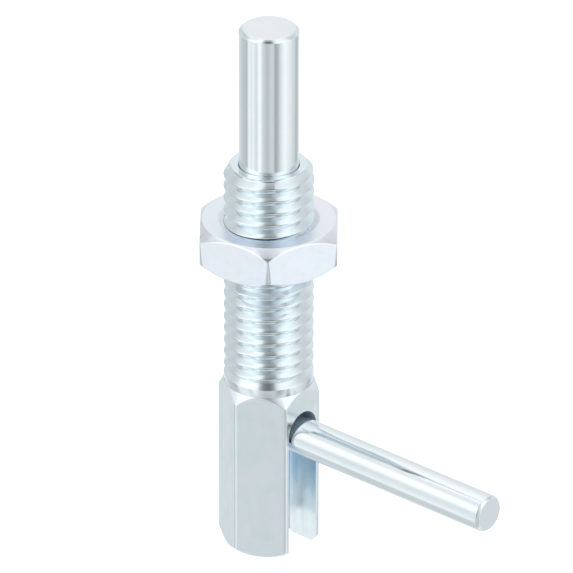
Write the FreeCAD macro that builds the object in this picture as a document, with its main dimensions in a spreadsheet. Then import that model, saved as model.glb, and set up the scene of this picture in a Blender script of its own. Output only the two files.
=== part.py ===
import FreeCAD, Part
import math
import os
import re
import Sketcher

# Indexing plunger with a side lever. The axis of the pin is Z, the foot of the hexagon
# stands at Z = 0, and the lever points along +X through the slot in the +X flat.

doc = FreeCAD.newDocument("IndexingPlunger")

# Driving dimensions in millimetres and degrees.
sizeTable = [
    ("hexAcrossFlats", 11.9, "body hexagon, flat to flat"),
    ("hexLength", 24.2, "foot to the upper end of the shoulder cone"),
    ("hexCornerRound", 0.3, "radius on the six long corners"),
    ("shoulderAngle", 30, "shoulder cone, from the axis"),
    ("footInset", 0.1, "foot circle inside the flats"),
    ("footAngle", 45, "foot cone, from the axis"),
    ("threadDiameter", 11.9, "over the crests of the thread"),
    ("sleeveLength", 31.8, "shoulder to the end of the sleeve"),
    ("leadIn", 0.9, "chamfer at the end of the thread"),
    ("mouthChamfer", 0.1, "edge of the pin bore"),
    ("guideChamfer", 0.3, "edge of the stem bore at the foot"),
    ("runningGap", 0.05, "radial play of pin and stem in their bores"),
    ("guideLength", 2.45, "stem guide above the slot, up to the spring"),
    ("slotGap", 0.25, "play of the lever to each side of the slot"),
    ("leverPlay", 0.95, "lever to the round end of the slot"),
    ("pinDiameter", 7.9, "locking pin"),
    ("pinReach", 19.6, "pin outside the sleeve"),
    ("pinGuide", 6.6, "pin inside the sleeve"),
    ("pinChamfer", 0.45, "edge of the pin tip"),
    ("reliefSink", 0.18, "end of the sleeve to the grinding relief"),
    ("reliefWidth", 0.6, "groove between the ground end and the guided part"),
    ("reliefDepth", 0.2, "depth of that groove"),
    ("stemDiameter", 6, "stem below the pin"),
    ("stemTail", 1.2, "stem below the lever"),
    ("stemChamfer", 0.4, "lower edge of the stem"),
    ("seatDepth", 0.7, "flat milled on the stem for the lever"),
    ("leverDiameter", 5, "lever rod"),
    ("leverHeight", 17.5, "lever axis above the foot"),
    ("leverReach", 37.9, "axis of the pin to the tip of the lever"),
    ("leverChamfer", 0.35, "both edges of the rod"),
    ("spigotDiameter", 3.5, "reduced end of the lever"),
    ("spigotInset", 0.7, "end of the spigot inside the stem"),
    ("spigotGap", 0.02, "radial play of the spigot in the stem"),
    ("wireDiameter", 0.65, "spring wire"),
    ("coilGap", 0.15, "radial play of the spring in the bore"),
    ("endCoilGap", 0.03, "between the wires of the closed end coils"),
    ("openCoils", 6, "open coils of the spring"),
    ("nutAcrossFlats", 18, "lock nut, flat to flat"),
    ("nutThickness", 5.7, "lock nut"),
    ("nutCornerRound", 0.25, "radius on the six corners"),
    ("nutFaceInset", 0.2, "face circle inside the flats"),
    ("nutAngle", 42, "chamfer of the corners, from the face"),
    ("nutSink", 0.65, "countersink of the thread at both faces"),
    ("nutDrop", 7.95, "end of the sleeve to the top of the nut"),
    ("nutTurn", 40.1, "turn of the nut about the axis"),
    ("threadGap", 0.05, "radial play of the nut on the sleeve"),
]

sizes = doc.addObject("Spreadsheet::Sheet", "Sizes")
for row, (name, number, note) in enumerate(sizeTable, start=1):
    sizes.set(f"A{row}", name)
    sizes.set(f"B{row}", str(number))
    sizes.set(f"C{row}", note)
    sizes.setAlias(f"B{row}", name)
doc.recompute()
sizeNames = {name for name, number, note in sizeTable}

# Places that several pieces share.
sleeveEnd = "(hexLength + sleeveLength)"
pinBore = "(pinDiameter / 2 + runningGap)"
stemBore = "(stemDiameter / 2 + runningGap)"
pinFloor = f"({sleeveEnd} - pinGuide)"
slotTop = "(leverHeight + leverDiameter / 2 + leverPlay)"
springSeat = f"({slotTop} + guideLength)"
leverSeat = "(stemDiameter / 2 - seatDepth)"


def bound(formula):
    """Names in a formula point at the cells of the sheet."""
    return re.sub(r"[A-Za-z]\w+", lambda m: "Sizes." + m[0] if m[0] in sizeNames else m[0], formula)


def newBody(label):
    body = doc.addObject("PartDesign::Body", label)
    body.Label = label
    return body


def newSketch(body, name, planeRole, offset=None):
    """A sketch on one of the body's own planes, lifted off it by a formula."""
    sketch = body.newObject("Sketcher::SketchObject", name)
    plane = next(f for f in body.Origin.OriginFeatures if f.Role == planeRole)
    sketch.AttachmentSupport = (plane, [""])
    sketch.MapMode = "FlatFace"
    if offset:
        sketch.setExpression("AttachmentOffset.Base.z", bound(offset))
    return sketch


def bind(sketch, kind, arguments, formula):
    """Add a constraint whose value is a formula."""
    number = sketch.addConstraint(Sketcher.Constraint(kind, *arguments, 1.0))
    sketch.setExpression(f"Constraints[{number}]", bound(formula))


def pinPoint(sketch, edge, point, across, up):
    """Fix a point of the sketch at two formulas, each counted from the origin."""
    for kind, formula, axis in (("DistanceX", across, -2), ("DistanceY", up, -1)):
        if formula == "0":
            sketch.addConstraint(Sketcher.Constraint("PointOnObject", edge, point, axis))
        elif formula.startswith("-"):
            bind(sketch, kind, (edge, point, -1, 1), formula[1:])
        else:
            bind(sketch, kind, (-1, 1, edge, point), formula)


def drawOutline(sketch, corners):
    """A closed outline of straight edges through corners given as pairs of formulas."""
    count = len(corners)
    turn = 2 * math.pi / count
    spots = [FreeCAD.Vector(math.cos(i * turn), math.sin(i * turn), 0) for i in range(count)]
    for i in range(count):
        sketch.addGeometry(Part.LineSegment(spots[i], spots[(i + 1) % count]), False)
    for i, (across, up) in enumerate(corners):
        sketch.addConstraint(Sketcher.Constraint("Coincident", i, 1, (i - 1) % count, 2))
        pinPoint(sketch, i, 1, across, up)


def drawCircle(sketch, across, up, radius, construction=False):
    start = Part.Circle(FreeCAD.Vector(1, 1, 0), FreeCAD.Vector(0, 0, 1), 1)
    circle = sketch.addGeometry(start, construction)
    pinPoint(sketch, circle, 3, across, up)
    bind(sketch, "Radius", (circle,), radius)
    return circle


def drawPolygon(sketch, sides, across, up, radius):
    """A regular polygon with its corners on a circle and its first side upright, towards +X."""
    circle = drawCircle(sketch, across, up, radius, construction=True)
    doc.recompute()
    ring = sketch.Geometry[circle]
    turn = 2 * math.pi / sides
    spots = []
    for i in range(sides):
        angle = (i - 0.5) * turn
        spots.append(ring.Center + FreeCAD.Vector(math.cos(angle), math.sin(angle), 0) * ring.Radius)
    lines = [
        sketch.addGeometry(Part.LineSegment(spots[i], spots[(i + 1) % sides]), False)
        for i in range(sides)
    ]
    for i, line in enumerate(lines):
        sketch.addConstraint(Sketcher.Constraint("Coincident", line, 1, lines[i - 1], 2))
        sketch.addConstraint(Sketcher.Constraint("PointOnObject", line, 1, circle))
    for line in lines[1:]:
        sketch.addConstraint(Sketcher.Constraint("Equal", lines[0], line))
    sketch.addConstraint(Sketcher.Constraint("Vertical", lines[0]))


def drawSlot(sketch, halfWidth, top):
    """An upright slot about the vertical axis, open at height 0 and round at the top."""
    ring = Part.Circle(FreeCAD.Vector(0, 2, 0), FreeCAD.Vector(0, 0, 1), 1)
    arc = sketch.addGeometry(Part.ArcOfCircle(ring, 0, math.pi), False)
    spots = [FreeCAD.Vector(across, up, 0) for across, up in ((-1, 2), (-1, 0), (1, 0), (1, 2))]
    lines = [
        sketch.addGeometry(Part.LineSegment(start, end), False)
        for start, end in zip(spots, spots[1:])
    ]
    chain = [arc] + lines
    for i, edge in enumerate(chain):
        sketch.addConstraint(Sketcher.Constraint("Coincident", edge, 1, chain[i - 1], 2))
    centre = f"{top} - {halfWidth}"
    pinPoint(sketch, lines[0], 1, f"-{halfWidth}", centre)
    pinPoint(sketch, lines[1], 1, f"-{halfWidth}", "0")
    pinPoint(sketch, lines[2], 1, halfWidth, "0")
    pinPoint(sketch, lines[2], 2, halfWidth, centre)
    bind(sketch, "DistanceY", (-1, 1, arc, 3), centre)


def turned(body, kind, name, corners, axis="V_Axis"):
    """A revolution or a groove of an outline in the XZ plane."""
    sketch = newSketch(body, name + "Sketch", "XZ_Plane")
    drawOutline(sketch, corners)
    feature = body.newObject(kind, name)
    feature.Profile = sketch
    feature.ReferenceAxis = (sketch, [axis])
    feature.Angle = 360
    return feature


def cutThrough(body, name, sketch, forwards=False, bothWays=False):
    """A pocket through everything behind the sketch, or before it, or both."""
    pocket = body.newObject("PartDesign::Pocket", name)
    pocket.Profile = sketch
    pocket.Type = "ThroughAll"
    pocket.Reversed = forwards
    pocket.Midplane = bothWays


def hexagonPrism(body, name, acrossFlats, length, cornerRound):
    """A hexagon bar along Z with two flats across X and its long corners rounded."""
    sketch = newSketch(body, name + "Sketch", "XY_Plane")
    drawPolygon(sketch, 6, "0", "0", f"{acrossFlats} / 2 / cos(30)")
    pad = body.newObject("PartDesign::Pad", name)
    pad.Profile = sketch
    pad.setExpression("Length", bound(length))
    doc.recompute()
    upright = []
    for number, edge in enumerate(pad.Shape.Edges, start=1):
        run = edge.Vertexes[-1].Point - edge.Vertexes[0].Point
        if math.hypot(run.x, run.y) < 1e-6 < abs(run.z):
            upright.append(f"Edge{number}")
    fillet = body.newObject("PartDesign::Fillet", name + "Corners")
    fillet.Base = (pad, upright)
    fillet.setExpression("Radius", bound(cornerRound))


def makeBody():
    """Hexagon, sleeve, stepped bore and lever slot, all turned and milled from one bar."""
    body = newBody("plunger_body")
    hexagonPrism(body, "Hexagon", "hexAcrossFlats", "hexLength", "hexCornerRound")

    # Both cones are cut by triangles that reach out to one across-flats, past every corner.
    turned(body, "PartDesign::Groove", "ShoulderCone", [
        ("threadDiameter / 2", "hexLength"),
        ("hexAcrossFlats", "hexLength - (hexAcrossFlats - threadDiameter / 2) / tan(shoulderAngle)"),
        ("hexAcrossFlats", "hexLength"),
    ])
    turned(body, "PartDesign::Groove", "FootCone", [
        ("hexAcrossFlats / 2 - footInset", "0"),
        ("hexAcrossFlats", "0"),
        ("hexAcrossFlats", "(hexAcrossFlats / 2 + footInset) / tan(footAngle)"),
    ])
    turned(body, "PartDesign::Revolution", "Sleeve", [
        ("0", "hexLength"),
        ("threadDiameter / 2", "hexLength"),
        ("threadDiameter / 2", f"{sleeveEnd} - leadIn"),
        ("threadDiameter / 2 - leadIn", sleeveEnd),
        ("0", sleeveEnd),
    ])
    turned(body, "PartDesign::Groove", "SteppedBore", [
        ("0", "0"),
        (f"{stemBore} + guideChamfer", "0"),
        (stemBore, "guideChamfer"),
        (stemBore, springSeat),
        (pinBore, springSeat),
        (pinBore, f"{sleeveEnd} - mouthChamfer"),
        (f"{pinBore} + mouthChamfer", sleeveEnd),
        ("0", sleeveEnd),
    ])

    # The slot runs from the axis out through the +X flat, and is open at the foot.
    slotSketch = newSketch(body, "SlotSketch", "YZ_Plane")
    drawSlot(slotSketch, "(leverDiameter / 2 + slotGap)", slotTop)
    cutThrough(body, "Slot", slotSketch, forwards=True)
    return body


def makePin():
    """Locking pin and stem, turned in one piece, with a flat and a cross hole for the lever."""
    body = newBody("plunger_pin")
    tip = f"({sleeveEnd} + pinReach)"
    tail = "(leverHeight - leverDiameter / 2 - stemTail)"
    reliefTop = f"({sleeveEnd} - reliefSink)"
    turned(body, "PartDesign::Revolution", "PinAndStem", [
        ("0", tail),
        ("stemDiameter / 2 - stemChamfer", tail),
        ("stemDiameter / 2", f"{tail} + stemChamfer"),
        ("stemDiameter / 2", pinFloor),
        ("pinDiameter / 2", pinFloor),
        ("pinDiameter / 2", f"{reliefTop} - reliefWidth"),
        ("pinDiameter / 2 - reliefDepth", f"{reliefTop} - reliefWidth"),
        ("pinDiameter / 2 - reliefDepth", reliefTop),
        ("pinDiameter / 2", reliefTop),
        ("pinDiameter / 2", f"{tip} - pinChamfer"),
        ("pinDiameter / 2 - pinChamfer", tip),
        ("0", tip),
    ])
    seatSketch = newSketch(body, "LeverSeatSketch", "YZ_Plane", leverSeat)
    drawOutline(seatSketch, [
        ("-stemDiameter", "leverHeight - leverDiameter / 2"),
        ("stemDiameter", "leverHeight - leverDiameter / 2"),
        ("stemDiameter", "leverHeight + leverDiameter / 2"),
        ("-stemDiameter", "leverHeight + leverDiameter / 2"),
    ])
    cutThrough(body, "LeverSeat", seatSketch, forwards=True)
    holeSketch = newSketch(body, "CrossHoleSketch", "YZ_Plane")
    drawCircle(holeSketch, "0", "leverHeight", "spigotDiameter / 2 + spigotGap")
    cutThrough(body, "CrossHole", holeSketch, bothWays=True)
    return body


def makeLever():
    """Lever rod along X, with a reduced end that sits in the stem."""
    body = newBody("pull_lever")
    turned(body, "PartDesign::Revolution", "Rod", [
        ("-(stemDiameter / 2 - spigotInset)", "0"),
        ("leverReach", "0"),
        ("leverReach", "leverDiameter / 2 - leverChamfer"),
        ("leverReach - leverChamfer", "leverDiameter / 2"),
        (f"{leverSeat} + leverChamfer", "leverDiameter / 2"),
        (leverSeat, "leverDiameter / 2 - leverChamfer"),
        (leverSeat, "spigotDiameter / 2"),
        ("-(stemDiameter / 2 - spigotInset)", "spigotDiameter / 2"),
    ], axis="H_Axis")
    body.setExpression("Placement.Base.z", bound("leverHeight"))
    return body


def makeSpring():
    """Compression spring with closed and ground ends, from the step in the bore to the pin."""
    body = newBody("plunger_spring")
    coilRadius = f"({pinBore} - coilGap - wireDiameter / 2)"
    endRise = "(wireDiameter + endCoilGap)"
    lowStart = f"({springSeat} + wireDiameter / 4)"
    highStart = f"({pinFloor} - wireDiameter / 4 - {endRise})"
    sections = [
        ("LowerEndCoil", lowStart, endRise, "1"),
        ("OpenCoils", f"{lowStart} + {endRise}", f"{highStart} - {lowStart} - {endRise}", "openCoils"),
        ("UpperEndCoil", highStart, endRise, "1"),
    ]
    for name, start, rise, turns in sections:
        sketch = newSketch(body, name + "Sketch", "XZ_Plane")
        drawPolygon(sketch, 8, coilRadius, start, "wireDiameter / 2")
        coil = body.newObject("PartDesign::AdditiveHelix", name)
        coil.Profile = sketch
        coil.ReferenceAxis = (sketch, ["V_Axis"])
        coil.Mode = "height-turns-angle"
        coil.setExpression("Height", bound(rise))
        coil.setExpression("Turns", bound(turns))
    for name, height, upper in (("GroundFoot", springSeat, False), ("GroundHead", pinFloor, True)):
        sketch = newSketch(body, name + "Sketch", "XY_Plane", height)
        drawCircle(sketch, "0", "0", "pinDiameter")
        cutThrough(body, name, sketch, forwards=upper)
    return body


def makeNut():
    """Thin hexagon nut, chamfered and countersunk on both faces."""
    body = newBody("lock_nut")
    hexagonPrism(body, "Nut", "nutAcrossFlats", "nutThickness", "nutCornerRound")
    faceCircle = "nutAcrossFlats / 2 - nutFaceInset"
    drop = "(nutAcrossFlats / 2 + nutFaceInset) * tan(nutAngle)"
    turned(body, "PartDesign::Groove", "UpperChamfer", [
        (faceCircle, "nutThickness"),
        ("nutAcrossFlats", f"nutThickness - {drop}"),
        ("nutAcrossFlats", "nutThickness"),
    ])
    turned(body, "PartDesign::Groove", "LowerChamfer", [
        (faceCircle, "0"),
        ("nutAcrossFlats", "0"),
        ("nutAcrossFlats", drop),
    ])
    bore = "threadDiameter / 2 + threadGap"
    turned(body, "PartDesign::Groove", "NutBore", [
        ("0", "0"),
        (f"{bore} + nutSink", "0"),
        (bore, "nutSink"),
        (bore, "nutThickness - nutSink"),
        (f"{bore} + nutSink", "nutThickness"),
        ("0", "nutThickness"),
    ])
    upright = FreeCAD.Rotation(FreeCAD.Vector(0, 0, 1), 1)
    body.Placement = FreeCAD.Placement(FreeCAD.Vector(), upright)
    body.setExpression("Placement.Base.z", bound(f"{sleeveEnd} - nutDrop - nutThickness"))
    body.setExpression("Placement.Rotation.Angle", bound("nutTurn"))
    return body


pieces = [makeBody(), makePin(), makeLever(), makeSpring(), makeNut()]
doc.recompute()

for item in doc.Objects:
    if {"Invalid", "Error"} & set(item.State):
        raise RuntimeError(f"{item.Label} did not build")
    if item.TypeId in ("PartDesign::Pocket", "PartDesign::Groove"):
        if item.Shape.Volume > item.BaseFeature.Shape.Volume - 1e-4:
            raise RuntimeError(f"{item.Label} cuts nothing")

os.makedirs("parts", exist_ok=True)
for piece in pieces:
    if piece.Shape.isNull() or not piece.Shape.isValid() or len(piece.Shape.Solids) != 1:
        raise RuntimeError(f"{piece.Label} is not one valid solid")
    piece.Shape.exportStep(f"parts/{piece.Label}.step")
    print(f"{piece.Label}: {piece.Shape.Volume:.1f} mm3")
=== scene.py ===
import bpy
import math
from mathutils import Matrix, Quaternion, Vector


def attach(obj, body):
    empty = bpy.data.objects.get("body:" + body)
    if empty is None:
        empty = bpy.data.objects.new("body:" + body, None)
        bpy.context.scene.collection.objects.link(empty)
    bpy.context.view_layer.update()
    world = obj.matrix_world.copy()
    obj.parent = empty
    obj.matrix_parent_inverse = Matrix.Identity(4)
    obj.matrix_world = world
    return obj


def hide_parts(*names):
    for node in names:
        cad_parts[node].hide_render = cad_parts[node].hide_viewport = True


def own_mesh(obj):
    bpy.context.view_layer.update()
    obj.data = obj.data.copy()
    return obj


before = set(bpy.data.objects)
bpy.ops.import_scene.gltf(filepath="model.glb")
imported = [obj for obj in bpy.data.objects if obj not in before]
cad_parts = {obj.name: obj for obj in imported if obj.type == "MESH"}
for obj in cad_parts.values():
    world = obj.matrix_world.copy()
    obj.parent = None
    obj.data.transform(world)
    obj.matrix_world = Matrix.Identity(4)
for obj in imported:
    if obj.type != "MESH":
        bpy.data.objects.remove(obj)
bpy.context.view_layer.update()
print("CAD frame loaded")

mm = 0.001  # lengths in the dictionaries are millimetres, Blender's are metres
roundSteps = 120  # steps once round a turned surface
mergeGap = 0.002 * mm
shortEdge = 0.01 * mm
onePlane = math.radians(0.2)  # faces that differ by less are joined
smoothBelow = math.radians(28)  # sharper edges stay sharp in the shading
reach = 8  # radius that clears the body, for cutting tools and envelopes
past = 1  # how far a cutting tool stands past the face it cuts


def activate(piece):
    bpy.ops.object.select_all(action="DESELECT")
    piece.select_set(True)
    bpy.context.view_layer.objects.active = piece


def named(name):
    piece = bpy.context.object
    piece.name = piece.data.name = name
    return piece


def applied(piece, modifier):
    activate(piece)
    bpy.ops.object.modifier_apply(modifier=modifier.name)


def drawLine(name, points):
    # a single vertex, extruded from point to point like a pen line; stays in edit mode
    bpy.ops.object.select_all(action="DESELECT")
    bpy.ops.mesh.primitive_plane_add(size=mm)
    piece = named(name)
    bpy.ops.object.mode_set(mode="EDIT")
    bpy.ops.mesh.select_mode(type="VERT")
    bpy.ops.mesh.select_all(action="SELECT")
    bpy.ops.mesh.merge(type="CENTER")
    places = [Vector(point) * mm for point in points]
    bpy.ops.transform.translate(value=places[0])
    for start, end in zip(places, places[1:]):
        bpy.ops.mesh.extrude_vertices_move(TRANSFORM_OT_translate={"value": end - start})
    bpy.ops.mesh.select_all(action="SELECT")
    return piece


def closeMesh():
    bpy.ops.mesh.select_all(action="SELECT")
    bpy.ops.mesh.remove_doubles(threshold=mergeGap)
    bpy.ops.mesh.normals_make_consistent(inside=False)
    bpy.ops.object.mode_set(mode="OBJECT")


def turnUp(name, profile, axis=(0, 0, 1), centre=(0, 0, 0)):
    # spins a drawn profile that starts and ends on the axis
    piece = drawLine(name, profile)
    bpy.ops.mesh.spin(steps=roundSteps, angle=2 * math.pi, center=Vector(centre) * mm, axis=axis)
    closeMesh()
    return piece


def onAxis(profile):
    # (radius, height) pairs as points of the XZ plane
    return [(radius, 0, height) for radius, height in profile]


def hexagonBar(name, acrossFlats, low, high, turn=0):
    bpy.ops.object.select_all(action="DESELECT")
    bpy.ops.mesh.primitive_cylinder_add(
        vertices=6,
        radius=acrossFlats / 2 / math.cos(math.radians(30)) * mm,
        depth=(high - low) * mm,
        location=(0, 0, (low + high) / 2 * mm),
        rotation=(0, 0, math.radians(turn)),
    )
    piece = named(name)
    bpy.ops.object.transform_apply(location=True, rotation=True, scale=True)
    return piece


def roundCorners(piece, radius):
    # the six upright edges of a hexagon bar
    activate(piece)
    bpy.ops.object.mode_set(mode="EDIT")
    bpy.ops.mesh.select_mode(type="EDGE")
    bpy.ops.mesh.select_all(action="DESELECT")
    bpy.ops.object.mode_set(mode="OBJECT")
    spots = piece.data.vertices
    for edge in piece.data.edges:
        start, end = (spots[i].co for i in edge.vertices)
        edge.select = (start.xy - end.xy).length < mergeGap
    bpy.ops.object.mode_set(mode="EDIT")
    bpy.ops.mesh.bevel(offset=radius * math.tan(math.radians(30)) * mm, segments=6, profile=0.5)
    bpy.ops.object.mode_set(mode="OBJECT")


def carve(piece, tool, operation="DIFFERENCE"):
    cut = piece.modifiers.new("Carve", "BOOLEAN")
    cut.operation = operation
    cut.solver = "EXACT"
    cut.object = tool
    applied(piece, cut)
    bpy.data.objects.remove(tool)


def softenEdges(piece, width, chosen=lambda spot: True, sharpFrom=25):
    # a small round on the sharp edges whose middle is chosen
    activate(piece)
    bpy.ops.object.mode_set(mode="EDIT")
    bpy.ops.mesh.select_mode(type="EDGE")
    bpy.ops.mesh.select_all(action="SELECT")
    bpy.ops.mesh.remove_doubles(threshold=shortEdge)
    bpy.ops.mesh.dissolve_limited(angle_limit=onePlane)
    bpy.ops.mesh.select_all(action="DESELECT")
    bpy.ops.mesh.edges_select_sharp(sharpness=math.radians(sharpFrom))
    bpy.ops.object.mode_set(mode="OBJECT")
    for face in piece.data.polygons:  # a face that stays selected would bring its edges back
        face.select = False
    spots = piece.data.vertices
    for edge in piece.data.edges:
        start, end = (spots[i].co for i in edge.vertices)
        edge.select = edge.select and chosen((start + end) / 2 / mm)
    bpy.ops.object.mode_set(mode="EDIT")
    bpy.ops.mesh.bevel(offset=width * mm, segments=2, profile=0.5, clamp_overlap=False)
    bpy.ops.mesh.select_all(action="SELECT")
    bpy.ops.mesh.vert_connect_concave()
    bpy.ops.object.mode_set(mode="OBJECT")


def threadedRod(name, thread, low, high, grow=0):
    # one tooth from root to root, swept up the helix and cut level at both ends
    crest = thread["crestRadius"] + grow
    root = thread["rootRadius"] + grow
    half = thread["pitch"] / 2
    cosine = math.cos(math.radians(thread["flankAngle"]))
    sine = math.sin(math.radians(thread["flankAngle"]))
    crestHalf = thread["crestFlat"] / 2
    rootCorner = crestHalf + (crest - root) * sine / cosine
    crestRound = thread["crestRound"]
    rootRound = thread["rootRound"]
    tooth = [
        (root, half),
        (root, rootCorner + rootRound * thread["rootEase"]),
        (root + rootRound * cosine, rootCorner - rootRound * sine),
        (crest - crestRound * cosine, crestHalf + crestRound * sine),
        (crest, crestHalf - crestRound * thread["crestEase"]),
    ]
    outline = [(radius, -rise) for radius, rise in tooth] + tooth[::-1]
    spare = thread["spareTurns"]  # below and above, cut off afterwards
    turns = math.ceil((high - low) / thread["pitch"]) + spare + 1
    firstCrest = thread["crestAtX"] + thread["pitch"] * (math.floor(low / thread["pitch"]) - spare)
    piece = drawLine(name, [(radius, 0, firstCrest + rise) for radius, rise in outline])
    bpy.ops.object.mode_set(mode="OBJECT")
    helix = piece.modifiers.new("Helix", "SCREW")
    helix.axis = "Z"
    helix.angle = 2 * math.pi
    helix.screw_offset = thread["pitch"] * mm
    helix.iterations = turns
    helix.steps = helix.render_steps = thread["steps"]
    applied(piece, helix)
    bpy.ops.object.mode_set(mode="EDIT")
    bpy.ops.mesh.select_all(action="SELECT")
    bpy.ops.mesh.remove_doubles(threshold=mergeGap)
    for height, below in ((low, True), (high, False)):
        bpy.ops.mesh.select_all(action="SELECT")
        bpy.ops.mesh.bisect(
            plane_co=(0, 0, height * mm), plane_no=(0, 0, 1),
            use_fill=True, clear_inner=below, clear_outer=not below, threshold=mergeGap / 10,
        )
    closeMesh()
    return piece


def finishPiece(piece, material, body, node):
    piece.data.materials.clear()
    piece.data.materials.append(material)
    activate(piece)
    bpy.ops.object.shade_smooth_by_angle(angle=smoothBelow)
    flats = piece.modifiers.new("FlatFaces", "WEIGHTED_NORMAL")
    flats.keep_sharp = True
    applied(piece, flats)
    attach(piece, body)
    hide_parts(node)
    print(piece.name, "finished,", len(piece.data.polygons), "faces")


# finishes, made of shared groups
tintDrift = {"from": 0.42, "to": 0.68, "detail": 3, "seeds": (("Lavender", 3.0), ("Teal", 11.0))}
wear = {
    "lineDetail": 4, "lineRoughness": 0.6, "spotScale": 900, "spotDetail": 3, "from": 0.15, "to": 0.42,
}


def newGroup(name, inputs, outputs):
    group = bpy.data.node_groups.new(name, "ShaderNodeTree")
    for label, kind, default in inputs:
        socket = group.interface.new_socket(name=label, in_out="INPUT", socket_type=kind)
        socket.default_value = default
    for label, kind in outputs:
        group.interface.new_socket(name=label, in_out="OUTPUT", socket_type=kind)
    return group, group.nodes.new("NodeGroupInput"), group.nodes.new("NodeGroupOutput")


def makeZincTint():
    # soft drifts of lavender and teal that a blue passivated zinc plate shows
    group, given, result = newGroup(
        "zincTint",
        [
            ("Vector", "NodeSocketVector", (0, 0, 0)),
            ("Base", "NodeSocketColor", (0.8, 0.8, 0.8, 1)),
            ("Lavender", "NodeSocketColor", (0.8, 0.8, 0.9, 1)),
            ("Teal", "NodeSocketColor", (0.7, 0.8, 0.8, 1)),
            ("Scale", "NodeSocketFloat", 200.0),
        ],
        [("Color", "NodeSocketColor")],
    )
    link = group.links.new
    colour = given.outputs["Base"]
    for label, seed in tintDrift["seeds"]:
        shift = group.nodes.new("ShaderNodeVectorMath")
        shift.inputs[1].default_value = (seed, seed, seed)
        noise = group.nodes.new("ShaderNodeTexNoise")
        noise.inputs["Detail"].default_value = tintDrift["detail"]
        spread = group.nodes.new("ShaderNodeMapRange")
        spread.inputs["From Min"].default_value = tintDrift["from"]
        spread.inputs["From Max"].default_value = tintDrift["to"]
        mix = group.nodes.new("ShaderNodeMix")
        mix.data_type = "RGBA"
        link(given.outputs["Vector"], shift.inputs[0])
        link(shift.outputs[0], noise.inputs["Vector"])
        link(given.outputs["Scale"], noise.inputs["Scale"])
        link(noise.outputs["Fac"], spread.inputs["Value"])
        link(spread.outputs["Result"], mix.inputs["Factor"])
        link(colour, mix.inputs["A"])
        link(given.outputs[label], mix.inputs["B"])
        colour = mix.outputs["Result"]
    link(colour, result.inputs["Color"])
    return group


def makeToolMarks():
    # fine lines left by turning, grinding or drawing, and the dull spots of handling
    group, given, result = newGroup(
        "toolMarks",
        [
            ("Vector", "NodeSocketVector", (0, 0, 0)),
            ("Stretch", "NodeSocketVector", (1, 1, 1)),
            ("Fineness", "NodeSocketFloat", 1000.0),
            ("Smooth", "NodeSocketFloat", 0.1),
            ("Dull", "NodeSocketFloat", 0.3),
        ],
        [("Height", "NodeSocketFloat"), ("Roughness", "NodeSocketFloat")],
    )
    link = group.links.new
    stretch = group.nodes.new("ShaderNodeVectorMath")
    stretch.operation = "MULTIPLY"
    lines = group.nodes.new("ShaderNodeTexNoise")
    lines.inputs["Detail"].default_value = wear["lineDetail"]
    lines.inputs["Roughness"].default_value = wear["lineRoughness"]
    spots = group.nodes.new("ShaderNodeTexNoise")
    spots.inputs["Scale"].default_value = wear["spotScale"]
    spots.inputs["Detail"].default_value = wear["spotDetail"]
    blend = group.nodes.new("ShaderNodeMath")
    blend.operation = "MULTIPLY"
    polish = group.nodes.new("ShaderNodeMapRange")
    polish.inputs["From Min"].default_value = wear["from"]
    polish.inputs["From Max"].default_value = wear["to"]
    link(given.outputs["Vector"], stretch.inputs[0])
    link(given.outputs["Stretch"], stretch.inputs[1])
    link(stretch.outputs[0], lines.inputs["Vector"])
    link(given.outputs["Fineness"], lines.inputs["Scale"])
    link(given.outputs["Vector"], spots.inputs["Vector"])
    link(lines.outputs["Fac"], blend.inputs[0])
    link(spots.outputs["Fac"], blend.inputs[1])
    link(blend.outputs[0], polish.inputs["Value"])
    link(given.outputs["Smooth"], polish.inputs["To Min"])
    link(given.outputs["Dull"], polish.inputs["To Max"])
    link(lines.outputs["Fac"], result.inputs["Height"])
    link(polish.outputs["Result"], result.inputs["Roughness"])
    return group


zincTint = makeZincTint()
toolMarks = makeToolMarks()


def makeMetal(name, look):
    material = bpy.data.materials.new(name)
    material.use_nodes = True
    nodes = material.node_tree.nodes
    link = material.node_tree.links.new
    shader = nodes["Principled BSDF"]
    shader.inputs["Metallic"].default_value = 1
    place = nodes.new("ShaderNodeTexCoord")
    tint = nodes.new("ShaderNodeGroup")
    tint.node_tree = zincTint
    tint.inputs["Base"].default_value = (*look["colour"], 1)
    tint.inputs["Lavender"].default_value = (*look["lavender"], 1)
    tint.inputs["Teal"].default_value = (*look["teal"], 1)
    tint.inputs["Scale"].default_value = look["driftScale"]
    marks = nodes.new("ShaderNodeGroup")
    marks.node_tree = toolMarks
    marks.inputs["Stretch"].default_value = look["stretch"]
    marks.inputs["Fineness"].default_value = look["fineness"]
    marks.inputs["Smooth"].default_value = look["roughness"][0]
    marks.inputs["Dull"].default_value = look["roughness"][1]
    bump = nodes.new("ShaderNodeBump")
    bump.inputs["Strength"].default_value = look["bump"]
    bump.inputs["Distance"].default_value = look["bumpDepth"] * mm
    if "turnedAbove" in look:  # marks along the bar below this height, round it above
        height = nodes.new("ShaderNodeSeparateXYZ")
        above = nodes.new("ShaderNodeMath")
        above.operation = "GREATER_THAN"
        above.inputs[1].default_value = look["turnedAbove"] * mm
        along = nodes.new("ShaderNodeMix")
        along.data_type = "VECTOR"
        along.inputs[4].default_value = look["stretch"]
        along.inputs[5].default_value = look["turnedStretch"]
        link(place.outputs["Object"], height.inputs[0])
        link(height.outputs["Z"], above.inputs[0])
        link(above.outputs[0], along.inputs[0])
        link(along.outputs[1], marks.inputs["Stretch"])
    link(place.outputs["Object"], tint.inputs["Vector"])
    link(place.outputs["Object"], marks.inputs["Vector"])
    link(tint.outputs["Color"], shader.inputs["Base Color"])
    link(marks.outputs["Roughness"], shader.inputs["Roughness"])
    link(marks.outputs["Height"], bump.inputs["Height"])
    link(bump.outputs["Normal"], shader.inputs["Normal"])
    return material


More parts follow.
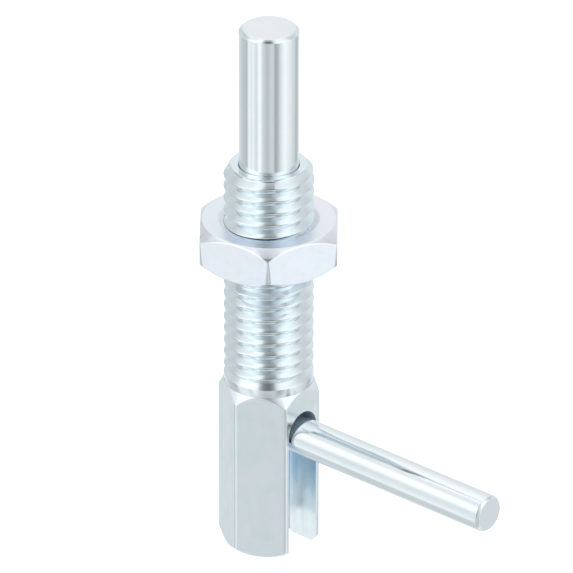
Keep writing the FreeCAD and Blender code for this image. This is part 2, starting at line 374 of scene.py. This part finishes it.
zincBody = makeMetal("zincBody", {
    "colour": (0.865, 0.912, 0.938), "lavender": (0.865, 0.89, 0.955), "teal": (0.8, 0.88, 0.9),
    "driftScale": 260, "stretch": (1, 1, 0.06), "turnedAbove": 24.2, "turnedStretch": (0.1, 0.1, 1),
    "fineness": 2600,
    "roughness": (0.14, 0.24), "bump": 0.12, "bumpDepth": 0.01,
})
groundPin = makeMetal("groundPin", {
    "colour": (0.9, 0.925, 0.95), "lavender": (0.9, 0.91, 0.96), "teal": (0.85, 0.91, 0.93),
    "driftScale": 200, "stretch": (0.12, 0.12, 1), "fineness": 3500,
    "roughness": (0.07, 0.16), "bump": 0.15, "bumpDepth": 0.01,
})
polishedLever = makeMetal("polishedLever", {
    "colour": (0.88, 0.91, 0.93), "lavender": (0.88, 0.89, 0.95), "teal": (0.84, 0.9, 0.92),
    "driftScale": 220, "stretch": (0.05, 1, 1), "fineness": 2400,
    "roughness": (0.08, 0.18), "bump": 0.15, "bumpDepth": 0.01,
})
zincNut = makeMetal("zincNut", {
    "colour": (0.89, 0.91, 0.975), "lavender": (0.91, 0.895, 0.98), "teal": (0.86, 0.91, 0.96),
    "driftScale": 160, "stretch": (1, 1, 1), "fineness": 1500,
    "roughness": (0.14, 0.26), "bump": 0.08, "bumpDepth": 0.01,
})
springWire = makeMetal("springWire", {
    "colour": (0.5, 0.52, 0.55), "lavender": (0.52, 0.52, 0.58), "teal": (0.48, 0.52, 0.54),
    "driftScale": 400, "stretch": (1, 1, 1), "fineness": 2000,
    "roughness": (0.25, 0.4), "bump": 0.1, "bumpDepth": 0.01,
})


# masks by place on a piece, and a second finish where a mask is one
def placeOn(material):
    spot = material.node_tree.nodes.new("ShaderNodeSeparateXYZ")
    place = material.node_tree.nodes["Texture Coordinate"]
    material.node_tree.links.new(place.outputs["Object"], spot.inputs[0])
    return spot.outputs


def rampMask(material, source, zeroAt, oneAt):
    share = material.node_tree.nodes.new("ShaderNodeMapRange")
    share.interpolation_type = "SMOOTHSTEP"
    share.inputs["From Min"].default_value = min(zeroAt, oneAt) * mm
    share.inputs["From Max"].default_value = max(zeroAt, oneAt) * mm
    share.inputs["To Min"].default_value = float(oneAt < zeroAt)
    share.inputs["To Max"].default_value = float(oneAt > zeroAt)
    material.node_tree.links.new(source, share.inputs["Value"])
    return share.outputs["Result"]


def bothMasks(material, first, second):
    node = material.node_tree.nodes.new("ShaderNodeMath")
    node.operation = "MULTIPLY"
    material.node_tree.links.new(first, node.inputs[0])
    material.node_tree.links.new(second, node.inputs[1])
    return node.outputs[0]


def secondFinish(material, mask, colour=None, roughness=None, metallic=None):
    shader = material.node_tree.nodes["Principled BSDF"]
    link = material.node_tree.links.new
    finishes = (("Base Color", colour), ("Roughness", roughness), ("Metallic", metallic))
    for label, wanted in finishes:
        if wanted is None:
            continue
        mix = material.node_tree.nodes.new("ShaderNodeMix")
        isColour = label == "Base Color"
        mix.data_type = "RGBA" if isColour else "FLOAT"
        first, second, result = (
            [socket for socket in sockets if socket.name == name and socket.enabled][0]
            for sockets, name in ((mix.inputs, "A"), (mix.inputs, "B"), (mix.outputs, "Result"))
        )
        second.default_value = (*wanted, 1) if isColour else wanted
        link(mask, mix.inputs["Factor"])
        if shader.inputs[label].links:
            link(shader.inputs[label].links[0].from_socket, first)
        else:
            first.default_value = shader.inputs[label].default_value
        link(result, shader.inputs[label])


def slotMask(material, slot):
    # one on the walls of a slot with a round upper end, open along X
    spot = placeOn(material)
    above = material.node_tree.nodes.new("ShaderNodeMath")
    above.operation = "SUBTRACT"
    above.use_clamp = True
    above.inputs[1].default_value = slot["centre"] * mm
    across = material.node_tree.nodes.new("ShaderNodeCombineXYZ")
    fromAxis = material.node_tree.nodes.new("ShaderNodeVectorMath")
    fromAxis.operation = "LENGTH"
    link = material.node_tree.links.new
    link(spot["Z"], above.inputs[0])
    link(spot["Y"], across.inputs["Y"])
    link(above.outputs[0], across.inputs["Z"])
    link(across.outputs[0], fromAxis.inputs[0])
    near = rampMask(material, fromAxis.outputs["Value"], slot["zeroFrom"], slot["oneWithin"])
    return bothMasks(material, near, rampMask(material, spot["X"], slot["behind"], slot["back"]))


slotLook = {
    "centre": 18.2, "oneWithin": 2.77, "zeroFrom": 2.83, "behind": -3.6, "back": -3.1,
    "palest": 2.0, "deepest": 12.0, "colour": (0.68, 0.83, 0.95),
    "roofFrom": 17.4, "roofTo": 18.8, "roofLightColour": (0.6, 0.71, 0.8), "roofRoughness": 0.5, "roofMetal": 0.4,
}
inSlot = slotMask(zincBody, slotLook)
bodySpot = placeOn(zincBody)
highUp = rampMask(zincBody, bodySpot["Z"], slotLook["palest"], slotLook["deepest"])
paintedSlotShade = bothMasks(zincBody, inSlot, highUp)
secondFinish(zincBody, paintedSlotShade, slotLook["colour"])  # painted shade: a bluer, darker colour on the walls of the slot, deepest high up in it
roundEnd = rampMask(zincBody, bodySpot["Z"], slotLook["roofFrom"], slotLook["roofTo"])
paintedRoofLight = bothMasks(zincBody, inSlot, roundEnd)
secondFinish(
    zincBody, paintedRoofLight, slotLook["roofLightColour"], slotLook["roofRoughness"], slotLook["roofMetal"],
)  # duller at its round end, with a less metallic colour as painted light on a roof that would otherwise mirror only dark
# painted shade: a darker, bluer colour on the thread stands in for the shade in its grooves; the thread is
# also smoother
threadLook = {"from": 25.3, "to": 25.5, "colour": (0.825, 0.9, 0.94), "roughness": 0.12}
threadShadeMask = rampMask(zincBody, bodySpot["Z"], threadLook["from"], threadLook["to"])
secondFinish(zincBody, threadShadeMask, threadLook["colour"], threadLook["roughness"])
# the stem is rougher than the ground pin; its less metallic colour is painted light on the stem seen in the
# slot
stemLook = {"from": 23.4, "to": 23.0, "colour": (0.75, 0.83, 0.89), "roughness": 0.55, "metal": 0.2}
onStem = rampMask(groundPin, placeOn(groundPin)["Z"], stemLook["from"], stemLook["to"])
secondFinish(groundPin, onStem, stemLook["colour"], stemLook["roughness"], stemLook["metal"])
nutTopLook = {"from": 47.97, "to": 48.03, "roughness": 0.32}
onNutTop = rampMask(zincNut, placeOn(zincNut)["Z"], nutTopLook["from"], nutTopLook["to"])
secondFinish(zincNut, onNutTop, roughness=nutTopLook["roughness"])
print("finishes mixed")

# threaded body: hexagon foot with the lever slot, neck, thread and bore in one piece
thread = {
    "pitch": 1.75, "crestRadius": 5.95, "rootRadius": 4.93, "flankAngle": 30,
    "crestFlat": 0.22, "crestRound": 0.07, "crestEase": 0.8, "rootRound": 0.14, "rootEase": 0.6,
    "crestAtX": 0.97, "spareTurns": 2, "steps": 96,
}
body = {
    "acrossFlats": 11.9, "cornerRound": 0.5, "footRadius": 5.85, "hexTop": 24.2, "coneRadius": 5.95,
    "coneAngle": 30, "slotHalf": 2.75, "slotTop": 20.95, "stemBore": 3.05, "pinBore": 4.0,
    "springSeat": 23.4, "neckRadius": 5.96, "neckTop": 25.35, "runOutTop": 26.6, "runOutRadius": 4.9,
    "sleeveTop": 56.0, "mouthRadius": 5.05, "guideChamfer": 0.3, "mouthChamfer": 0.1, "edge": 0.06,
    "footRim": 0.3, "slotSteps": 32, "threadAbove": 0.5, "threadSpare": 0.4, "neckInset": 0.08,
    "neckLap": 0.1, "boreDip": 0.5, "boreLap": 0.05, "coneRim": 0.02,
}


def slotTool(half, top):
    centre = top - half
    arc = [
        (0, half * math.cos(turn), centre + half * math.sin(turn))
        for turn in (math.pi * step / body["slotSteps"] for step in range(body["slotSteps"] + 1))
    ]
    tool = drawLine("slotTool", [(0, half, -past)] + arc + [(0, -half, -past)])
    bpy.ops.mesh.edge_face_add()
    bpy.ops.mesh.extrude_region_move(TRANSFORM_OT_translate={"value": (reach * mm, 0, 0)})
    closeMesh()
    return tool


plungerBody = hexagonBar("plungerBody", body["acrossFlats"], -past, body["hexTop"] + past)
roundCorners(plungerBody, body["cornerRound"])
cone = math.tan(math.radians(body["coneAngle"]))
carve(plungerBody, turnUp("barEnvelope", onAxis([
    (0, 0),
    (body["footRadius"], 0),
    (reach, reach - body["footRadius"]),
    (reach, body["hexTop"] - (reach - body["coneRadius"]) / cone),
    (body["coneRadius"], body["hexTop"]),
    (0, body["hexTop"]),
])), "INTERSECT")
carve(plungerBody, slotTool(body["slotHalf"], body["slotTop"]))
carve(plungerBody, turnUp("stemBoreTool", onAxis([
    (0, -past),
    (body["stemBore"] + body["guideChamfer"] + past, -past),
    (body["stemBore"], body["guideChamfer"]),
    (body["stemBore"], body["hexTop"] + past),
    (0, body["hexTop"] + past),
])))
print("hexagon milled")

sleeve = threadedRod(
    "sleeve", thread, body["hexTop"] + body["threadAbove"], body["sleeveTop"] + body["threadSpare"],
)
carve(sleeve, turnUp("leadInEnvelope", onAxis([
    (0, body["hexTop"]),
    (reach, body["hexTop"]),
    (reach, body["sleeveTop"] - (reach - body["mouthRadius"])),
    (body["mouthRadius"], body["sleeveTop"]),
    (0, body["sleeveTop"]),
])), "INTERSECT")
carve(sleeve, turnUp("neck", onAxis([
    (0, body["springSeat"] - body["neckLap"]),
    (body["neckRadius"] - body["neckInset"], body["springSeat"] - body["neckLap"]),
    (body["neckRadius"] - body["neckInset"], body["hexTop"] - body["neckInset"]),
    (body["neckRadius"], body["hexTop"] + body["neckLap"]),
    (body["neckRadius"], body["neckTop"]),
    (body["runOutRadius"], body["runOutTop"]),
    (0, body["runOutTop"]),
])), "UNION")
carve(plungerBody, sleeve, "UNION")
carve(plungerBody, turnUp("pinBoreTool", onAxis([
    (0, body["springSeat"] - body["boreDip"]),
    (body["stemBore"] + body["boreLap"], body["springSeat"] - body["boreDip"]),
    (body["stemBore"] + body["boreLap"], body["springSeat"]),
    (body["pinBore"], body["springSeat"]),
    (body["pinBore"], body["sleeveTop"] - body["mouthChamfer"]),
    (body["pinBore"] + body["mouthChamfer"] + past, body["sleeveTop"] + past),
    (0, body["sleeveTop"] + past),
])))
softenEdges(
    plungerBody, body["edge"], lambda spot: body["footRim"] < spot.z < body["hexTop"] - body["coneRim"],
)
finishPiece(plungerBody, zincBody, "housing", "plunger_body")

# locking pin and stem
pin = {
    "tail": 13.8, "stemRadius": 3.0, "stemChamfer": 0.4, "pinFloor": 49.4, "pinRadius": 3.95,
    "reliefLow": 55.22, "reliefHigh": 55.82, "reliefDepth": 0.2, "tip": 75.6, "tipChamfer": 0.45,
    "leverHeight": 17.5, "seatAt": 2.3, "leverRadius": 2.5, "crossHole": 1.77, "holeSides": 64,
    "edge": 0.05,
}
lockingPin = turnUp("lockingPin", onAxis([
    (0, pin["tail"]),
    (pin["stemRadius"] - pin["stemChamfer"], pin["tail"]),
    (pin["stemRadius"], pin["tail"] + pin["stemChamfer"]),
    (pin["stemRadius"], pin["pinFloor"]),
    (pin["pinRadius"], pin["pinFloor"]),
    (pin["pinRadius"], pin["reliefLow"]),
    (pin["pinRadius"] - pin["reliefDepth"], pin["reliefLow"]),
    (pin["pinRadius"] - pin["reliefDepth"], pin["reliefHigh"]),
    (pin["pinRadius"], pin["reliefHigh"]),
    (pin["pinRadius"], pin["tip"] - pin["tipChamfer"]),
    (pin["pinRadius"] - pin["tipChamfer"], pin["tip"]),
    (0, pin["tip"]),
]))
bpy.ops.object.select_all(action="DESELECT")
bpy.ops.mesh.primitive_cube_add(
    size=1,
    location=((pin["seatAt"] + reach / 2) * mm, 0, pin["leverHeight"] * mm),
    scale=(reach * mm, reach * mm, pin["leverRadius"] * 2 * mm),
)
seatTool = named("seatTool")
bpy.ops.object.transform_apply(location=True, rotation=True, scale=True)
carve(lockingPin, seatTool)
bpy.ops.object.select_all(action="DESELECT")
bpy.ops.mesh.primitive_cylinder_add(
    vertices=pin["holeSides"], radius=pin["crossHole"] * mm, depth=3 * reach * mm,
    location=(0, 0, pin["leverHeight"] * mm), rotation=(0, math.radians(90), 0),
)
holeTool = named("holeTool")
bpy.ops.object.transform_apply(location=True, rotation=True, scale=True)
carve(lockingPin, holeTool)
softenEdges(lockingPin, pin["edge"])
finishPiece(lockingPin, groundPin, "plunger", "plunger_pin")

# pull lever
lever = {
    "height": 17.5, "inner": -2.3, "spigot": 1.75, "seat": 2.3, "radius": 2.5, "tip": 37.9,
    "chamfer": 0.35, "edge": 0.05,
}
pullLever = turnUp("pullLever", [(along, 0, lever["height"] + radius) for along, radius in (
    (lever["inner"], 0),
    (lever["inner"], lever["spigot"]),
    (lever["seat"], lever["spigot"]),
    (lever["seat"], lever["radius"] - lever["chamfer"]),
    (lever["seat"] + lever["chamfer"], lever["radius"]),
    (lever["tip"] - lever["chamfer"], lever["radius"]),
    (lever["tip"], lever["radius"] - lever["chamfer"]),
    (lever["tip"], 0),
)], axis=(1, 0, 0), centre=(0, 0, lever["height"]))
softenEdges(pullLever, lever["edge"])
finishPiece(pullLever, polishedLever, "plunger", "pull_lever")

# lock nut, its corners turned off in a slight cone, countersunk and threaded
nut = {
    "acrossFlats": 18, "low": 42.35, "high": 48.05, "turn": 40.1, "faceRadius": 8.8, "chamferAngle": 38,
    "tipRadius": 9.95, "tipDrop": 0.5, "lowCorner": 10.18, "highCorner": 10.34,
    "sinkRadius": 6.65, "sinkSlope": 0.6, "bore": 5.1, "threadPlay": 0.03, "tapBelow": 0.7,
    "tapAbove": 0.6, "edge": 0.12, "sinkRim": 0.05,
}
lockNut = hexagonBar("lockNut", nut["acrossFlats"], nut["low"] - past, nut["high"] + past, nut["turn"])
slope = math.tan(math.radians(nut["chamferAngle"]))
carve(lockNut, turnUp("nutEnvelope", onAxis([
    (0, nut["low"]),
    (nut["faceRadius"], nut["low"]),
    (nut["lowCorner"], nut["low"] + (nut["lowCorner"] - nut["faceRadius"]) * slope),
    (nut["highCorner"], nut["high"] - nut["tipDrop"] - (nut["tipRadius"] - nut["faceRadius"]) * slope),
    (nut["tipRadius"], nut["high"] - (nut["tipRadius"] - nut["faceRadius"]) * slope),
    (nut["faceRadius"], nut["high"]),
    (0, nut["high"]),
])), "INTERSECT")
sinkDepth = (nut["sinkRadius"] - nut["bore"]) * nut["sinkSlope"]
carve(lockNut, turnUp("sinkTool", onAxis([
    (0, nut["low"] - nut["sinkSlope"]),
    (nut["sinkRadius"] + past, nut["low"] - nut["sinkSlope"]),
    (nut["bore"], nut["low"] + sinkDepth),
    (nut["bore"], nut["high"] - sinkDepth),
    (nut["sinkRadius"] + past, nut["high"] + nut["sinkSlope"]),
    (0, nut["high"] + nut["sinkSlope"]),
])))
carve(lockNut, threadedRod(
    "nutTap", thread, nut["low"] - nut["tapBelow"], nut["high"] + nut["tapAbove"], nut["threadPlay"],
))
softenEdges(lockNut, nut["edge"], lambda spot: spot.xy.length > nut["sinkRadius"] - nut["sinkRim"])
finishPiece(lockNut, zincNut, "nut", "lock_nut")

# compression spring with closed, ground ends
spring = {
    "wire": 0.65, "coilRadius": 3.525, "seat": 23.4, "head": 49.4, "endRise": 0.68, "openCoils": 6,
    "turnSteps": 32, "wireRounding": 4, "shortest": 0.22,
}


def springPath():
    low = spring["seat"] + spring["wire"] / 4
    high = spring["head"] - spring["wire"] / 4
    openRise = (high - low - 2 * spring["endRise"]) / spring["openCoils"]
    height = low
    points = []
    for coil in range(spring["openCoils"] + 2):
        rise = openRise if 0 < coil <= spring["openCoils"] else spring["endRise"]
        for step in range(spring["turnSteps"]):
            share = step / spring["turnSteps"]
            turn = 2 * math.pi * share
            across, along = spring["coilRadius"] * math.cos(turn), spring["coilRadius"] * math.sin(turn)
            points.append((across, along, height + rise * share))
        height += rise
    points.append((spring["coilRadius"], 0, height))
    return points


coilSpring = drawLine("coilSpring", springPath())
bpy.ops.object.mode_set(mode="OBJECT")
bpy.ops.object.convert(target="CURVE")
coilSpring = named("coilSpring")
coilSpring.data.bevel_depth = spring["wire"] / 2 * mm
coilSpring.data.bevel_resolution = spring["wireRounding"]
coilSpring.data.use_fill_caps = True
bpy.ops.object.convert(target="MESH")
coilSpring = named("coilSpring")
bpy.ops.object.mode_set(mode="EDIT")
closeMesh()
carve(coilSpring, turnUp("groundEnds", onAxis([
    (0, spring["seat"]), (reach, spring["seat"]), (reach, spring["head"]), (0, spring["head"]),
])), "INTERSECT")
finishPiece(coilSpring, springWire, "housing", "plunger_spring")
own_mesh(coilSpring)

# studio: pale floor, a tent of soft light, camera as in the photograph
studio = {
    "azimuth": 40.74, "elevation": 27.97, "roll": 0.123, "distance": 886.3, "lens": 423.7, "sensor": 36,
    "aimHeight": 40, "aimRight": 2.32, "aimUp": -1.95, "clipFrom": 50, "clipTo": 20000,
    "floor": -7.0, "floorSize": 6000, "floorColour": (0.93, 0.93, 0.93), "floorRoughness": 0.9,
    "floorGlow": 0.35, "tentStrength": 1.0,
    "wallTint": (0.94, 0.995, 1.005), "roofTint": (0.975, 0.995, 1.0),
}
azimuth = math.radians(studio["azimuth"])
elevation = math.radians(studio["elevation"])
right = Vector((math.cos(azimuth), math.sin(azimuth), 0))
level = math.cos(elevation)
back = Vector((math.sin(azimuth) * level, -math.cos(azimuth) * level, math.sin(elevation)))
up = back.cross(right)
bpy.ops.object.camera_add()
camera = bpy.context.object
camera.data.lens = studio["lens"]
camera.data.sensor_width = studio["sensor"]
camera.data.clip_start = studio["clipFrom"] * mm
camera.data.clip_end = studio["clipTo"] * mm
aim = Vector((0, 0, studio["aimHeight"])) + right * studio["aimRight"] + up * studio["aimUp"]
camera.location = (aim + back * studio["distance"]) * mm
camera.rotation_mode = "QUATERNION"
roll = Quaternion((0, 0, 1), math.radians(studio["roll"]))
camera.rotation_quaternion = (-back).to_track_quat("-Z", "Y") @ roll
bpy.context.scene.camera = camera

bpy.ops.mesh.primitive_plane_add(size=studio["floorSize"] * mm, location=(0, 0, studio["floor"] * mm))
floor = named("floor")
floorPaint = bpy.data.materials.new("floorPaint")
floorPaint.use_nodes = True
paint = floorPaint.node_tree.nodes["Principled BSDF"]
paint.inputs["Base Color"].default_value = (*studio["floorColour"], 1)
paint.inputs["Roughness"].default_value = studio["floorRoughness"]
paint.inputs["Emission Color"].default_value = (1, 1, 1, 1)
paint.inputs["Emission Strength"].default_value = studio["floorGlow"]
floor.data.materials.append(floorPaint)
floor.visible_glossy = False  # the metal mirrors the tent

# light of the tent in rows from the floor up; along a row, degrees to the right of the camera's side
tentRows = [
    (-60, [
        (-180, 0.88), (-120, 0.65), (-90, 0.85), (-60, 1.0), (-30, 0.64), (0, 0.5), (30, 0.76),
        (60, 1.0), (90, 0.84), (180, 0.88),
    ]),
    (-30, [
        (-180, 0.96), (-150, 0.8), (-141, 0.8), (-128, 0.64), (-105, 0.56), (-92, 0.5), (-83, 1.06),
        (-72, 0.9), (-62, 0.98), (-48, 0.74), (-36, 1.18), (-24, 0.78), (-7, 0.6), (9, 0.74),
        (16, 0.72), (25, 0.38), (34, 0.5), (46, 0.8), (62, 1.04), (80, 0.9), (98, 0.78),
        (116, 0.66), (126, 0.44), (138, 0.6), (150, 0.9), (180, 0.96),
    ]),
    (0, [
        (-180, 0.85), (-150, 0.68), (-120, 0.88), (-100, 0.98), (-75, 0.82), (-60, 1.08), (-45, 1.0),
        (-30, 0.86), (-15, 0.46), (0, 0.38), (15, 0.7), (30, 0.76), (45, 1.06), (60, 1.22),
        (85, 1.16), (105, 0.86), (135, 0.9), (165, 0.76), (180, 0.85),
    ]),
    (30, [
        (-180, 0.92), (-150, 0.7), (-110, 0.62), (-95, 0.8), (-80, 1.32), (-60, 1.45), (-38, 1.2),
        (-20, 0.58), (0, 0.36), (20, 0.78), (38, 1.2), (60, 1.28), (80, 0.96), (100, 0.62),
        (140, 0.8), (180, 0.92),
    ]),
    (60, [
        (-180, 1.16), (-160, 1.24), (-120, 1.24), (-100, 1.0), (-80, 0.84), (-60, 1.1), (-45, 1.15),
        (-34, 0.9), (-25, 0.26), (-8, 0.1), (8, 0.14), (18, 0.3), (28, 0.9), (42, 1.1), (60, 1.1),
        (100, 0.86), (140, 1.06), (180, 1.16),
    ]),
    (76, [(-180, 1.05), (-60, 0.92), (-15, 0.76), (15, 0.76), (60, 0.92), (180, 1.05)]),
    (90, [(0, 0.92)]),
]
world = bpy.data.worlds.new("tent")
bpy.context.scene.world = world
world.use_nodes = True
nodes = world.node_tree.nodes
link = world.node_tree.links.new


def rowOfTent(stops, tint):
    row = nodes.new("ShaderNodeValToRGB")
    elements = row.color_ramp.elements
    elements.remove(elements[1])
    for number, (angle, light) in enumerate(stops):
        place = (angle + 180) / 360
        element = elements[0] if number == 0 else elements.new(place)
        element.position = place
        element.color = (*(light * share for share in tint), 1)
    link(turnShare.outputs["Result"], row.inputs["Fac"])
    return row.outputs["Color"]


direction = nodes.new("ShaderNodeTexCoord")
facing = nodes.new("ShaderNodeVectorRotate")  # X towards the camera, Y to its right
facing.rotation_type = "Z_AXIS"
facing.inputs["Angle"].default_value = math.radians(90) - azimuth
split = nodes.new("ShaderNodeSeparateXYZ")
around = nodes.new("ShaderNodeMath")
around.operation = "ARCTAN2"
turnShare = nodes.new("ShaderNodeMapRange")
turnShare.inputs["From Min"].default_value = -math.pi
turnShare.inputs["From Max"].default_value = math.pi
rise = nodes.new("ShaderNodeMath")
rise.operation = "ARCSINE"
link(direction.outputs["Generated"], facing.inputs["Vector"])
link(facing.outputs[0], split.inputs[0])
link(split.outputs["Y"], around.inputs[0])
link(split.outputs["X"], around.inputs[1])
link(around.outputs[0], turnShare.inputs["Value"])
link(split.outputs["Z"], rise.inputs[0])
lower, tentLight = tentRows[0][0], rowOfTent(tentRows[0][1], studio["wallTint"])
for height, stops in tentRows[1:]:
    share = nodes.new("ShaderNodeMapRange")
    share.inputs["From Min"].default_value = math.radians(lower)
    share.inputs["From Max"].default_value = math.radians(height)
    link(rise.outputs[0], share.inputs["Value"])
    mix = nodes.new("ShaderNodeMix")
    mix.data_type = "RGBA"
    link(share.outputs["Result"], mix.inputs["Factor"])
    link(tentLight, mix.inputs["A"])
    tint = studio["roofTint"] if height > 0 else studio["wallTint"]
    link(rowOfTent(stops, tint), mix.inputs["B"])
    lower, tentLight = height, mix.outputs["Result"]
link(tentLight, nodes["Background"].inputs["Color"])
nodes["Background"].inputs["Strength"].default_value = studio["tentStrength"]
bpy.context.scene.view_settings.view_transform = "Standard"
print("studio set")
